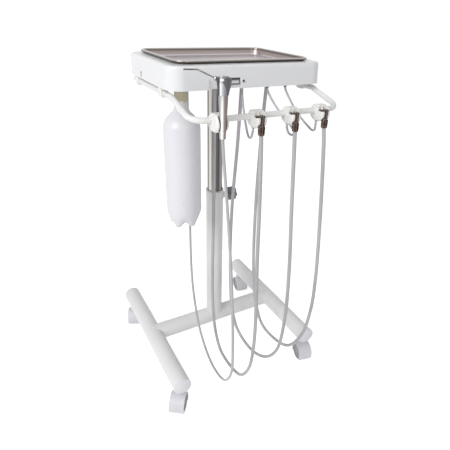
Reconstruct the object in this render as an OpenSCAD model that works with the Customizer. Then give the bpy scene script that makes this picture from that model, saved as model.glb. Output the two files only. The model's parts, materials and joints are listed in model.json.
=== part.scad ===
// Portable dental unit: a delivery head on a telescopic post, over an H base on four
// twin-wheel casters. Millimetres, +Z up, front towards -Y. The origin is on the floor,
// at the centre of the unit's footprint; modules draw about the post's axis.

/* [Base] */
// Outer diameter of the two leg tubes
leg_d = 50; // [44:1:56]
// Distance between the centre lines of the legs
leg_spacing = 420; // [400:5:460]
// Reach of a leg tube in front of the cross bar
leg_front = 236; // [220:2:260]
// Reach of a leg tube behind the cross bar
leg_back = 226; // [210:2:250]
// Outer diameter of the cross bar
bar_d = 50; // [44:1:50]
// Wall of the base tubes
tube_wall = 2; // [1.5:0.5:3]
// Height of the domed end caps
cap_h = 4; // [3:0.5:6]

/* [Casters] */
// Diameter of a caster wheel
wheel_d = 50; // [46:1:54]
// Width of one wheel of a twin pair
wheel_w = 16; // [13:0.5:17]
// Gap between the twin wheels, where the fork web runs
wheel_gap = 7; // [6:0.5:9]
// Distance from swivel axis to wheel axle
trail = 17; // [14:1:20]
// Height from the floor to the underside of a leg
caster_h = 65; // [62:1:72]
// Diameter of the swivel stem
stem_d = 11; // [9:1:12]
// Distance from a stem to the end of its leg
stem_inset = 25; // [22:1:32]
// Diameter of a wheel axle
axle_d = 8; // [6:1:10]
// Turn of the casters from straight forward: front left
turn_fl = 36; // [0:1:40]
// Turn of the front right caster
turn_fr = 13; // [0:1:40]
// Turn of the back left caster
turn_bl = 24; // [0:1:40]
// Turn of the back right caster
turn_br = 10; // [0:1:40]

/* [Post] */
// Outer diameter of the fixed lower post
post_d = 50; // [48:1:54]
// Height of the top of the lower post
post_top = 540; // [480:10:580]
// Diameter of the sliding upper post
upper_d = 42; // [38:1:43]
// Wall of the upper post
upper_wall = 2; // [1.5:0.5:3]
// Length of the upper post inside the lower one
engaged = 300; // [280:10:340]
// Height of the guide bush flange
bush_flange = 4; // [3:0.5:6]
// Length of the guide bush in the lower post
bush_len = 60; // [40:5:90]
// Depth of the clamp screw below the top of the lower post
clamp_drop = 20; // [16:1:26]
// Diameter of the clamp boss
boss_d = 18; // [15:1:20]
// Length of the clamp boss
boss_len = 12; // [8:1:16]
// Diameter of the clamp knob over its lobes
knob_d = 38; // [32:1:46]
// Thickness of the clamp knob
knob_t = 22; // [14:1:26]
// Diameter of the clamp screw
screw_d = 8; // [6:1:10]

/* [Head] */
// Width of the head's cover at its top
head_w = 386; // [376:2:400]
// Depth of the head's cover at its top
head_l = 276; // [268:2:290]
// Distance from the post's axis to the head's centre, forwards
head_fwd = 48; // [40:1:56]
// Height of the head's lower edge
head_z = 856; // [840:2:880]
// Height of the cover
head_h = 48; // [44:1:56]
// Outward draft of each side, top to bottom
draft = 2; // [1:0.5:4]
// Radius of the cover's upright corners
corner_r = 33; // [26:1:40]
// Radius of the cover's top edge
edge_r = 6; // [4:0.5:9]
// Wall of the cover
wall = 3.5; // [3:0.5:5]
// Thickness of the bottom pan
pan_t = 2.5; // [2:0.5:4]
// Diameter of the hub that sits on the upper post
hub_d = 56; // [52:1:66]
// Side of the square flange below the hub
flange_w = 110; // [90:5:120]
// Thickness of that flange
flange_t = 5; // [4:0.5:7]

/* [Tray] */
// Width of the tray over its rim
tray_w = 340; // [330:2:350]
// Depth of the tray over its rim
tray_l = 248; // [240:2:254]
// Distance of the tray's centre behind the head's centre
tray_back = 6; // [0:1:8]
// Height of the rim's top above the cover
rim_up = 8; // [6:0.5:10]
// Diameter of the rolled rim
rim_d = 6; // [5:0.5:7]
// Depth of the tray from rim top to floor
tray_h = 17; // [14:0.5:19]
// Corner radius of the tray at its rim
tray_r = 30; // [24:1:36]
// Slope of the tray's walls, top to bottom
tray_slope = 7; // [5:0.5:10]
// Thickness of the tray's steel
tray_t = 1.2; // [0.8:0.1:2]

/* [Controls] */
// Left end of the scooped recess in the front, from the post's axis
scoop_x0 = -108; // [-112:1:-100]
// Right end of the recess
scoop_x1 = -31; // [-33:1:-30]
// Height of the recess from the lower edge
scoop_h = 24; // [22:1:26]
// Depth of the recess at the lower edge
scoop_deep = 9; // [6:0.5:10]
// Width of the pressure gauge
gauge_w = 46; // [40:1:50]
// Height of the gauge
gauge_h = 14; // [12:0.5:16]
// Depth of the gauge body
gauge_l = 22; // [18:1:28]
// Distance of the gauge's right side from the recess's right end
gauge_gap = 3; // [2:0.5:4]
// Thickness of the gauge's rim
gauge_rim = 1.6; // [1.2:0.1:2]
// Diameter of the front push button
button_d = 5; // [4:0.5:6]
// Distance of the push button to the right of the recess
button_gap = 5; // [4:0.5:8]

/* [Rail] */
// Diameter of the rail tube
rail_d = 12.7; // [11:0.1:14]
// Distance between the rail's two arms
rail_w = 366; // [356:2:380]
// Reach of the rail in front of the post's axis
rail_fwd = 265; // [255:1:275]
// Drop of the rail below the arms
rail_drop = 28; // [22:1:34]
// Bend radius of the rail's corners
rail_r = 28; // [22:1:36]
// Distance of the arms' downward bend in front of the post's axis
rail_kink = 165; // [155:1:175]
// Rear end of the arms, from the post's axis
rail_rear = 70; // [60:5:100]
// Gap between the head's lower edge and the arms
rail_gap = 6.5; // [5:0.5:9]

/* [Holders] */
// Centres of the four holders, left to right
holder_x = [-129, -41, 44, 123];
// Width of a handpiece holder
holder_w = 24; // [22:1:28]
// Radius of the holder's drum
drum_r = 18; // [16:0.5:20]
// Distance from the rail to the centre of the drum's back end, forwards
drum_fwd = 3; // [2:0.5:5]
// Drop of a drum's centre below the rail
drum_drop = 4; // [3:0.5:5]
// Distance from the rail to the fork's seat, forwards
seat_fwd = 27; // [25:1:30]
// Reach of the fork's prongs past the seat
prong = 3; // [2:0.5:6]
// Thickness of the fork's shelf under a connector
shelf_t = 14; // [11:0.5:15]
// Width of the syringe holder
syringe_holder_w = 27; // [25:1:30]

/* [Handpiece connectors] */
// Diameter of the connector body
conn_d = 9.4; // [8.6:0.2:10]
// Diameter of the coupling nut
nut_d = 14; // [12:0.5:15]
// Length of the coupling nut
nut_h = 21; // [18:1:24]
// Diameter of the connector's head
conn_head_d = 12; // [11:0.5:13]
// Height of the connector's head
conn_head_h = 4; // [3:0.5:5]

/* [Syringe] */
// Length of the syringe handle
handle_h = 83; // [76:1:90]
// Diameter of the handle at its lower end
handle_d0 = 15; // [14:0.5:15.5]
// Diameter of the handle under the head
handle_d1 = 21; // [20:0.5:22]
// Height of the syringe head
syr_head_h = 33; // [30:1:36]
// Turn of the tip from straight left towards the head
tip_turn = 60; // [50:1:70]
// Rise of the tip's first stretch
tip_rise = 15.5; // [12:0.5:20]
// Length of the tip's first stretch beyond the nut
tip_len1 = 45; // [36:1:50]
// Length of the tip's bent stretch
tip_len2 = 30; // [24:1:34]
// Diameter of the tip
tip_d = 2.8; // [2.4:0.1:3.2]
// Diameter of a syringe button
syr_button_d = 6; // [5:0.5:6]

/* [Water bottle] */
// Diameter of the bottle
bottle_d = 88; // [80:1:92]
// Height of the bottle from its feet to the top of its neck
bottle_h = 338; // [300:2:350]
// Diameter of the bottle's neck
neck_d = 25; // [22:0.5:26]
// Wall of the bottle
bottle_wall = 1.5; // [1:0.1:2]
// Diameter of the bottle adapter under the head
adapter_d = 30; // [29:0.5:34]
// Height of the adapter
adapter_h = 44; // [38:1:50]
// Distance of the bottle's axis to the left of the post
bottle_x = 127; // [120:1:130]
// Distance of the bottle's axis in front of the post
bottle_y = 79; // [74:1:84]
// Diameter of the pickup tube
pickup_d = 6; // [5:0.5:7]

/* [Hoses] */
// Diameter of a handpiece hose
hose_d = 9; // [8:0.5:10]
// Diameter of the syringe hose
syringe_hose_d = 6.5; // [6:0.5:7]
// Diameter of a signal tube
signal_d = 5; // [4:0.5:5.5]
// Diameter of a hose gland under the pan
gland_d = 17; // [14:0.5:20]
// Length of a hose gland
gland_h = 10; // [8:1:12]

/* [Fits] */
// Radial clearance of a running fit
run_fit = 0.05; // [0.02:0.01:0.1]
// Gap between parts that rest against each other
gap = 0.3; // [0.2:0.05:0.4]

/* [Hidden] */
$fn = 48;

// Base
leg_x = leg_spacing / 2;
leg_z = caster_h + leg_d / 2;
stem_front = -(leg_front - stem_inset);
stem_back = leg_back - stem_inset;
stem_h = leg_d * 0.72;
socket_wall = 4;
plug_l = 9;
cope = 6;

// Casters: the hood runs round the wheels, with its web between them
hood_play = 1.5;
hood_t = 2.5;
hood_r = wheel_d / 2 + hood_play + hood_t;
hood_w = 2 * wheel_w + wheel_gap + 3;
hood_foot = 18;
web_foot = 9;
boss_r = stem_d / 2 + 5;
web_t = wheel_gap - 1;

// Post: the upper tube stands in the lower one and is clamped by the knob's screw
bush_r = post_d / 2 - tube_wall;
screw_z = post_top - clamp_drop;
boss_end = post_d / 2 + boss_len;
knob_hub_l = 5;
knob_x = boss_end + gap + knob_hub_l;

// Head: the pan closes the cover from below, the hub stands on the pan
pan_lift = 1;
pan_z = head_z + pan_lift;
floor_z = pan_z + pan_t;
head_top = head_z + head_h;
rim_top = head_top + rim_up;
tray_floor = rim_top - tray_h;
pocket_floor = tray_floor - tray_t - gap;
ceiling = pocket_floor - wall;
pocket_play = 1;
hub_top = ceiling - 2;
hub_roof = 4;
post_end = hub_top - hub_roof;
head_back = head_l / 2 - head_fwd;
flange_r = 12;
tab_w = 40;
tab_t = 2;

// Valve block and regulator on the pan
block_w = 128;
block_l = 46;
block_h = 14;
block_x = head_w / 2 - 131;
block_y = 58 - head_fwd - head_l / 2;
bonnet_pitch = 42;
bonnet_d = 30;
bonnet_h = 7;
regulator_w = 32;
regulator_h = 12;
regulator_x = 98 - head_w / 2;
regulator_y = head_back - 45;
dome_d = 24;
dome_h = 9;
stud_d = 10;
stud_h = 4;

// Tray: the sheet's outer plan at the rim
sheet_w = tray_w - 2 * rim_d + 2 * tray_t;
sheet_l = tray_l - 2 * rim_d + 2 * tray_t;
sheet_r = tray_r - rim_d + tray_t;

// Controls on the front face
gauge_x = scoop_x1 - gauge_gap - gauge_w / 2;
gauge_z = head_z + 8 + gauge_h / 2;
gauge_front = front_at(gauge_z) + 2;
button_x = scoop_x1 + button_gap;
button_z = gauge_z;
button_out = 1.5;
button_l = 15;
pointer_zero = 50;
side_screw_y = -12;
side_screw_z = [head_z + 6.5, head_z + 13.5];
side_screw_d = 3;

// Rail and holders
rail_x = rail_w / 2;
arm_z = head_z - rail_gap - rail_d / 2;
rail_z = arm_z - rail_drop;
kink_run = rail_fwd - rail_kink;
rail_slope = atan(rail_drop / kink_run);
kink_r = 24;
kink_cut = kink_r * tan(rail_slope / 2);
seam = 0.05;
clamp_y = [-120, 40];
seat_y = -(rail_fwd + seat_fwd);
drum_z = rail_z - drum_drop;
drum_back = -(rail_fwd + drum_fwd);
drum_front = seat_y - prong + drum_r;
drum_edge = 3;
fork_play = 0.4;
nut_play = 0.7;
shelf_z = rail_z + 2;
nut_top = shelf_z - shelf_t - 1;
nut_bottom = nut_top - nut_h;
barb_x = -8.5;
barb_y = -273;
barb_l = 6;

// Handpiece levers, each on a pin in its holder's left cheek
lever_t = 3;
lever_x = -9.8;
lever_y = seat_y + 7;
lever_reach = 7;
lever_room = 10.5;
lever_side = 3;

// Syringe: a straight tapered handle that hangs in its holder's cone
syr_x = holder_x[0];
handle_z = shelf_z - 34;
handle_top = handle_z + handle_h;
nose_d = 13;
nose_z = handle_top + 27;
tip_d_nut = 9;
tip_nut_l = 7;
tip_bend = 21;
tip_bend_r = 9;
button_rise = 24;
face_d = 8;
press = 1.6;

// Bottle and its adapter
neck_z = pan_z - adapter_h;
neck_in = 21;
neck_top = neck_z + neck_in;
bottle_z = neck_top - bottle_h;
base_r = bottle_d / 2 - 8;
base_chamfer = 25;
shoulder_drop = 88;
neck_h = 42;
shoulder_z = neck_top - shoulder_drop;
neck_foot = neck_top - neck_h;
pickup_lift = 24;
air_tube_d = 3;
air_tube_l = 15;

// Plan centre of the unit, from the post's axis
left_reach = leg_x + (trail + hood_r) * sin(turn_fl) + hood_w / 2 * cos(turn_fl);
right_reach = leg_x + leg_d / 2;
front_reach = rail_fwd + seat_fwd + handle_d1 / 2;
back_reach = leg_back + cap_h;

// Glands under the pan, in plan: syringe, left, middle and right hose
gland_xy = [[-93, -35], [-36, -68], [27, -88], [92, -98]];
signal_xy = [[-11, -156], [45, -172], [94, -173]];
signal_gland_h = 6;
inlet_y = head_back - 22;
inlet_l = 14;
inlet_r = 4;
inlet_pitch = 20;
inlet_plate_w = 70;
inlet_plate_l = 22;
inlet_plate_t = 3;

// Hose routes, front end first, from the post's axis
route_syringe = [
    [-129, -292, 783], [-129, -296, 755], [-130, -318, 650], [-134, -352, 490],
    [-137, -372, 330], [-137, -371, 240], [-132, -336, 174], [-127, -294, 142],
    [-117, -213, 123], [-106, -122, 156], [-98, -60, 250], [-93, -36, 330],
    [-93, -35, 600], [-93, -35, 847]
];
route_left = [
    [-41, -292, 781], [-41, -294, 760], [-41, -302, 620], [-41, -307, 470],
    [-42, -317, 330], [-41, -314, 225], [-41, -298, 135], [-40, -252, 64],
    [-38, -190, 41], [-37, -126, 44], [-36, -88, 85], [-35, -62, 190],
    [-36, -67, 560], [-36, -68, 847]
];
route_middle = [
    [44, -292, 781], [44, -294, 760], [45, -306, 600], [46, -319, 442],
    [46, -322, 290], [45, -302, 165], [41, -255, 99], [36, -190, 71],
    [30, -113, 90], [27, -76, 150], [26, -57, 290], [26, -58, 500],
    [27, -77, 700], [27, -88, 847]
];
route_right = [
    [123, -292, 781], [124, -296, 755], [127, -316, 560], [129, -327, 390],
    [129, -325, 290], [126, -304, 185], [117, -256, 110], [108, -198, 97],
    [99, -145, 113], [93, -112, 175], [89, -92, 290], [90, -82, 480],
    [91, -90, 740], [92, -98, 847]
];
routes_signal = [
    [[-11, -156, 851], [-12, -159, 843], [-18, -177, 823], [-25, -210, 783],
        [-32, -238, 766], [-42, -260, 765], [-49, -272, 776], [-49.5, -273, 787]],
    [[45, -172, 851], [46, -175, 843], [52, -192, 820], [61, -216, 788],
        [62, -238, 767], [54, -259, 763], [40, -271, 772], [35.5, -273, 787]],
    [[94, -173, 851], [96, -176, 843], [104, -190, 826], [113, -208, 804],
        [124, -228, 782], [129, -248, 766], [121, -265, 769], [114.5, -273, 787]]
];

function front_at(z) = -(head_fwd + head_l / 2 + draft * (1 - (z - head_z) / head_h));
function side_at(z) = head_w / 2 + draft * (1 - (z - head_z) / head_h);
function handle_r(z) =
    (handle_d0 + (handle_d1 - handle_d0) * (z - handle_z) / handle_h) / 2;

// Places what is drawn about the post's axis over the centre of the unit's footprint
module unit() {
    translate([(left_reach - right_reach) / 2, (front_reach - back_reach) / 2, 0])
        children();
}

module along_x(x0, x1, r) {
    translate([x0, 0, 0]) rotate([0, 90, 0]) cylinder(r = r, h = x1 - x0);
}

module along_y(y0, y1, r) {
    translate([0, y0, 0]) rotate([-90, 0, 0]) cylinder(r = r, h = y1 - y0);
}

module rounded(w, l, r) {
    square([w - 2 * r, l], center = true);
    square([w, l - 2 * r], center = true);
    for (x = [-1, 1], y = [-1, 1])
        translate([x * (w / 2 - r), y * (l / 2 - r)]) circle(r);
}

// A block with upright round corners whose sides lean; the plan is given at its top
module leaning_block(w, l, r, z0, z1, grow) {
    hull()
        for (x = [-1, 1], y = [-1, 1])
            translate([x * (w / 2 - r), y * (l / 2 - r), z0])
                cylinder(r1 = r + grow, r2 = r, h = z1 - z0, $fn = 32);
}

module at_head() {
    translate([0, -head_fwd, 0]) children();
}

module at_tray() {
    translate([0, tray_back - head_fwd, 0]) children();
}

// ---- Base ----

module leg(side) {
    translate([side * leg_x, 0, leg_z])
        difference() {
            along_y(-leg_front, leg_back, leg_d / 2);
            difference() {
                along_y(-leg_front - 1, leg_back + 1, leg_d / 2 - tube_wall);
                for (y = [stem_front, stem_back])
                    translate([0, y, -leg_d / 2])
                        cylinder(r = stem_d / 2 + socket_wall, h = leg_d);
            }
            for (y = [stem_front, stem_back])
                translate([0, y, -leg_d / 2 - 1])
                    cylinder(r = stem_d / 2 + run_fit, h = stem_h + 2);
        }
}

module left_leg() {
    color("whitesmoke") unit() leg(-1);
}

module right_leg() {
    color("whitesmoke") unit() leg(1);
}

module cross_bar() {
    color("whitesmoke") unit()
        translate([0, 0, leg_z])
            difference() {
                along_x(cope - leg_x, leg_x - cope, bar_d / 2);
                along_x(-leg_x - 1, leg_x + 1, bar_d / 2 - tube_wall);
                for (x = [-leg_x, leg_x])
                    translate([x, 0, 0]) along_y(-leg_d, leg_d, leg_d / 2 + run_fit);
            }
}

module lower_post() {
    color("whitesmoke") unit()
        difference() {
            translate([0, 0, leg_z + cope])
                cylinder(r = post_d / 2, h = post_top - leg_z - cope);
            translate([0, 0, leg_z - 1]) cylinder(r = bush_r, h = post_top);
            translate([0, 0, leg_z]) along_x(-post_d, post_d, bar_d / 2 + run_fit);
            translate([0, 0, screw_z]) along_x(0, post_d, screw_d / 2 + gap);
        }
}

// A domed plastic plug in each end of both legs
module leg_end_caps() {
    dome_r = (pow(leg_d / 2, 2) + pow(cap_h, 2)) / (2 * cap_h);
    color("white") unit()
        for (x = [-1, 1], end = [-1, 1])
            translate([x * leg_x, end < 0 ? -leg_front : leg_back, leg_z])
                rotate([-90 * end, 0, 0]) {
                    rotate_extrude()
                        intersection() {
                            translate([0, cap_h - dome_r]) circle(dome_r, $fn = 180);
                            square([leg_d / 2, cap_h]);
                        }
                    translate([0, 0, -plug_l])
                        cylinder(r = leg_d / 2 - tube_wall - run_fit, h = plug_l);
                }
}

module post_bushing() {
    color("lightgray") unit()
        difference() {
            union() {
                translate([0, 0, post_top - bush_len])
                    cylinder(r = bush_r - run_fit, h = bush_len);
                translate([0, 0, post_top]) cylinder(r = post_d / 2, h = bush_flange - 1);
                translate([0, 0, post_top + bush_flange - 1])
                    cylinder(r1 = post_d / 2, r2 = post_d / 2 - 1, h = 1);
            }
            translate([0, 0, post_top - bush_len - 1])
                cylinder(r = upper_d / 2 + run_fit, h = bush_len + bush_flange + 2);
            translate([0, 0, screw_z]) along_x(0, post_d, screw_d / 2 + gap);
        }
}

module clamp_boss() {
    color("whitesmoke") unit()
        translate([0, 0, screw_z])
            difference() {
                along_x(0, boss_end, boss_d / 2);
                along_x(-1, boss_end + 1, screw_d / 2 + run_fit);
                translate([0, 0, -boss_d])
                    cylinder(r = post_d / 2 + run_fit, h = 2 * boss_d);
            }
}

// A lobed grip on the screw that clamps the upper post
module clamp_knob() {
    lobes = 6;
    lobe_r = knob_d * 0.15;
    color("dimgray") unit()
        translate([0, 0, screw_z]) {
            along_x(upper_d / 2 + gap, knob_x + 1, screw_d / 2);
            along_x(boss_end + gap, knob_x, knob_d * 0.27);
            translate([knob_x, 0, 0])
                rotate([90, 0, 90])
                    linear_extrude(height = knob_t) {
                        circle(knob_d / 2 - lobe_r);
                        for (i = [0:lobes - 1])
                            rotate(360 / lobes * i)
                                translate([knob_d / 2 - lobe_r, 0]) circle(lobe_r, $fn = 24);
                    }
            along_x(knob_x + knob_t, knob_x + knob_t + 2, knob_d * 0.3);
        }
}

// ---- Casters ----

module at_caster(side, y, turn) {
    translate([side * leg_x, y, 0]) rotate([0, 0, -turn]) children();
}

// The hood's plates, seen from the side: a ring over the wheels and the web inside it
module hood_ring() {
    difference() {
        circle(hood_r);
        circle(hood_r - hood_t);
        translate([-2 * hood_r, -3 * hood_r]) square([4 * hood_r, 3 * hood_r - hood_foot]);
        rotate(-38) translate([0, -2 * hood_r]) square([2 * hood_r, 2 * hood_r]);
    }
}

module caster_hood(side, y, turn) {
    color("gainsboro") unit() at_caster(side, y, turn)
        difference() {
            union() {
                translate([0, -trail, wheel_d / 2]) rotate([90, 0, 90]) {
                    translate([0, 0, -hood_w / 2]) linear_extrude(height = hood_w) hood_ring();
                    translate([0, 0, -web_t / 2]) linear_extrude(height = web_t) {
                        hood_ring();
                        difference() {
                            circle(hood_r - hood_t + 0.5);
                            translate([-2 * hood_r, -3 * hood_r])
                                square([4 * hood_r, 3 * hood_r - web_foot]);
                        }
                    }
                }
                difference() {
                    translate([0, 0, wheel_d / 2])
                        cylinder(r = boss_r, h = caster_h - gap - wheel_d / 2);
                    translate([0, -trail, wheel_d / 2])
                        along_x(-hood_w, hood_w, hood_r - 0.5);
                }
                translate([0, 0, caster_h - gap - 1])
                    cylinder(r = stem_d / 2, h = stem_h + gap);
            }
            translate([0, -trail, wheel_d / 2])
                along_x(-hood_w, hood_w, axle_d / 2 + run_fit);
        }
}

// Two wheels with dished faces on one axle
module caster_wheels(side, y, turn) {
    r = wheel_d / 2;
    inner = wheel_gap / 2;
    outer = inner + wheel_w;
    color("silver") unit() at_caster(side, y, turn)
        translate([0, -trail, r]) rotate([0, 90, 0])
            rotate_extrude($fn = 64)
                polygon([
                    [0, -outer + 2], [6, -outer + 2], [8, -outer + 4], [r - 5, -outer + 4],
                    [r - 4, -outer], [r - 1.5, -outer], [r, -outer + 1.5], [r, -inner - 1],
                    [r - 1, -inner], [axle_d / 2, -inner], [axle_d / 2, inner],
                    [r - 1, inner], [r, inner + 1], [r, outer - 1.5], [r - 1.5, outer],
                    [r - 4, outer], [r - 5, outer - 4], [8, outer - 4], [6, outer - 2],
                    [0, outer - 2]
                ]);
}

module caster_hood_fl() { caster_hood(-1, stem_front, turn_fl); }
module caster_hood_fr() { caster_hood(1, stem_front, turn_fr); }
module caster_hood_bl() { caster_hood(-1, stem_back, turn_bl); }
module caster_hood_br() { caster_hood(1, stem_back, turn_br); }
module caster_wheels_fl() { caster_wheels(-1, stem_front, turn_fl); }
module caster_wheels_fr() { caster_wheels(1, stem_front, turn_fr); }
module caster_wheels_bl() { caster_wheels(-1, stem_back, turn_bl); }
module caster_wheels_br() { caster_wheels(1, stem_back, turn_br); }

// ---- Upper post and head frame ----

module upper_post() {
    foot = post_top - engaged;
    color("silver") unit()
        translate([0, 0, foot])
            difference() {
                cylinder(r = upper_d / 2, h = post_end - foot);
                translate([0, 0, -1])
                    cylinder(r = upper_d / 2 - upper_wall, h = post_end - foot - 3);
            }
}

module head_mount() {
    color("gray") unit()
        difference() {
            union() {
                translate([0, 0, floor_z])
                    linear_extrude(height = flange_t) rounded(flange_w, flange_w, flange_r);
                translate([0, 0, floor_z]) cylinder(r = hub_d / 2, h = hub_top - floor_z);
            }
            translate([0, 0, floor_z - 1])
                cylinder(r = upper_d / 2 + run_fit, h = post_end - floor_z + 1);
        }
}

module bottom_pan() {
    inset = wall + gap;
    w = 2 * (side_at(floor_z) - inset);
    l = head_l + w - head_w;
    tab_z = side_screw_z[1] + 4;
    tab_x = side_at(tab_z) - wall - gap;
    color("lightgray") unit()
        difference() {
            union() {
                at_head() translate([0, 0, pan_z])
                    linear_extrude(height = pan_t) rounded(w, l, corner_r + (w - head_w) / 2);
                for (s = [-1, 1])
                    translate([s * (tab_x - tab_t / 2), side_screw_y, (pan_z + tab_z) / 2])
                        cube([tab_t, tab_w, tab_z - pan_z], center = true);
            }
            scoop(wall + gap);
            translate([0, 0, pan_z - 1])
                cylinder(r = upper_d / 2 + gap, h = pan_t + 2);
            for (s = [-1, 1], z = side_screw_z)
                translate([0, side_screw_y, z])
                    along_x(s * tab_x - 5, s * tab_x + 5, side_screw_d / 2 + run_fit);
        }
}

// The scooped recess in the front of the cover, as a wedge along X
module scoop(grow) {
    translate([scoop_x0 - grow, 0, 0])
        rotate([90, 0, 90])
            linear_extrude(height = scoop_x1 - scoop_x0 + 2 * grow)
                polygon([
                    [front_at(head_z) - 20, head_z - 2],
                    [front_at(head_z) + scoop_deep + grow, head_z - 2],
                    [front_at(head_z) + scoop_deep + grow, head_z],
                    [front_at(head_z + scoop_h) + grow, head_z + scoop_h + grow / 2],
                    [front_at(head_z) - 20, head_z + scoop_h + grow / 2]
                ]);
}

module edged_block(w, l, r, z0, z1, grow, edge) {
    h = z1 - z0;
    steps = 6;
    hull()
        for (x = [-1, 1], y = [-1, 1])
            translate([x * (w / 2 - r), y * (l / 2 - r), z0])
                rotate_extrude($fn = 48)
                    polygon(concat(
                        [[0, 0], [r + grow, 0]],
                        [for (i = [0:steps]) [
                            r - edge + edge * cos(90 * i / steps),
                            h - edge + edge * sin(90 * i / steps)
                        ]],
                        [[0, h]]
                    ));
}

// The moulded cover: a drafted shell with the tray's pocket in its top
module housing() {
    wide = head_w - 2 * wall;
    long = head_l - 2 * wall;
    color("white") unit()
        difference() {
            at_head() edged_block(head_w, head_l, corner_r, head_z, head_top, draft, edge_r);
            difference() {
                at_head() leaning_block(wide, long, corner_r - wall, head_z - 1,
                    head_top - wall, draft);
                at_tray() leaning_block(sheet_w + 2 * (pocket_play + wall),
                    sheet_l + 2 * (pocket_play + wall), sheet_r + pocket_play + wall,
                    ceiling, head_top, -tray_slope);
                scoop(wall);
            }
            at_tray() leaning_block(sheet_w + 2 * pocket_play, sheet_l + 2 * pocket_play,
                sheet_r + pocket_play, pocket_floor, rim_top, -tray_slope);
            scoop(0);
            translate([gauge_x, gauge_front + 20, gauge_z])
                cube([gauge_w + 2 * gap, 60, gauge_h + 2 * gap], center = true);
            translate([button_x, 0, button_z])
                along_y(front_at(head_z) - 5, front_at(head_z) + wall + 8,
                    button_d / 2 + run_fit);
            for (z = side_screw_z)
                translate([0, side_screw_y, z])
                    along_x(-head_w, head_w, side_screw_d / 2 + run_fit);
        }
}

// Two pan-head screws in each side of the cover
module housing_screws() {
    color("gray") unit()
        for (s = [-1, 1], z = side_screw_z)
            translate([s * (side_at(z) + gap), side_screw_y, z])
                rotate([0, 90 * s, 0]) {
                    rotate_extrude($fn = 24)
                        polygon([[0, 0], [side_screw_d, 0], [side_screw_d, 0.8],
                            [side_screw_d - 0.8, 1.6], [0, 1.6]]);
                    translate([0, 0, -wall - 6]) cylinder(r = side_screw_d / 2, h = wall + 7);
                }
}

// ---- Inside the head ----

// Drilled valve block: one diaphragm bonnet for each handpiece
module control_block() {
    color("silver") unit()
        translate([block_x, block_y, floor_z]) {
            translate([-block_w / 2, -block_l / 2, 0]) cube([block_w, block_l, block_h]);
            for (i = [-1, 0, 1])
                translate([bonnet_pitch * i, 0, block_h])
                    cylinder(r = bonnet_d / 2, h = bonnet_h);
        }
}

module air_regulator() {
    color("goldenrod") unit()
        translate([regulator_x, regulator_y, floor_z]) {
            translate([-regulator_w / 2, -regulator_w / 2, 0])
                cube([regulator_w, regulator_w, regulator_h]);
            translate([0, 0, regulator_h]) cylinder(r = dome_d / 2, h = dome_h);
            translate([0, 0, regulator_h + dome_h]) cylinder(r = stud_d / 2, h = stud_h);
        }
}

module gauge_case() {
    color("#222222") unit()
        translate([gauge_x, gauge_front, gauge_z])
            difference() {
                translate([-gauge_w / 2, 0, -gauge_h / 2]) cube([gauge_w, gauge_l, gauge_h]);
                translate([gauge_rim - gauge_w / 2, -1, gauge_rim - gauge_h / 2])
                    cube([gauge_w - 2 * gauge_rim, 6, gauge_h - 2 * gauge_rim]);
                translate([0, 0, gauge_rim + 1 - gauge_h / 2]) along_y(4, 9, 0.6);
            }
}

module gauge_lens() {
    inner_w = gauge_w - 2 * gauge_rim - 2 * run_fit;
    inner_h = gauge_h - 2 * gauge_rim - 2 * run_fit;
    color("lightblue", 0.5) unit()
        translate([gauge_x - inner_w / 2, gauge_front + 0.6, gauge_z - inner_h / 2])
            cube([inner_w, 1.2, inner_h]);
}

module gauge_pointer() {
    pivot_z = gauge_z + gauge_rim + 1 - gauge_h / 2;
    reach = gauge_h - 2 * gauge_rim - 3;
    color("black") unit()
        translate([gauge_x, gauge_front, pivot_z]) {
            along_y(3.4, 8.5, 0.55, $fn = 24);
            translate([0, 3.4, 0]) rotate([90, 0, 0]) cylinder(r = 0.9, h = 0.8);
            rotate([0, -pointer_zero, 0])
                translate([-0.3, 2.6, 0]) cube([0.6, 0.6, reach]);
        }
}

module front_button() {
    color("black") unit()
        translate([button_x, front_at(button_z) - button_out, button_z]) {
            along_y(0, button_l, button_d / 2);
            along_y(button_out + wall + 6, button_l, button_d / 2 + 1.5);
        }
}

module tray() {
    inner_w = sheet_w - 2 * tray_t;
    inner_l = sheet_l - 2 * tray_t;
    rim_r = rim_d / 2;
    path_w = tray_w - rim_d;
    path_l = tray_l - rim_d;
    path_r = tray_r - rim_r;
    color("silver") unit() at_tray() {
        difference() {
            leaning_block(sheet_w, sheet_l, sheet_r, tray_floor - tray_t,
                rim_top - rim_r, -tray_slope);
            leaning_block(inner_w, inner_l, sheet_r - tray_t, tray_floor,
                rim_top, -tray_slope);
        }
        translate([0, 0, rim_top - rim_r]) {
            for (s = [-1, 1]) {
                translate([s * path_w / 2, 0, 0])
                    along_y(path_r - path_l / 2, path_l / 2 - path_r, rim_r);
                translate([0, s * path_l / 2, 0])
                    along_x(path_r - path_w / 2, path_w / 2 - path_r, rim_r);
            }
            for (i = [0:3])
                translate([(i == 0 || i == 3 ? 1 : -1) * (path_w / 2 - path_r),
                    (i < 2 ? 1 : -1) * (path_l / 2 - path_r), 0])
                    rotate(90 * i)
                        rotate_extrude(angle = 90)
                            translate([path_r, 0]) circle(rim_r);
        }
    }
}

// ---- Rail and holders ----

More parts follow.
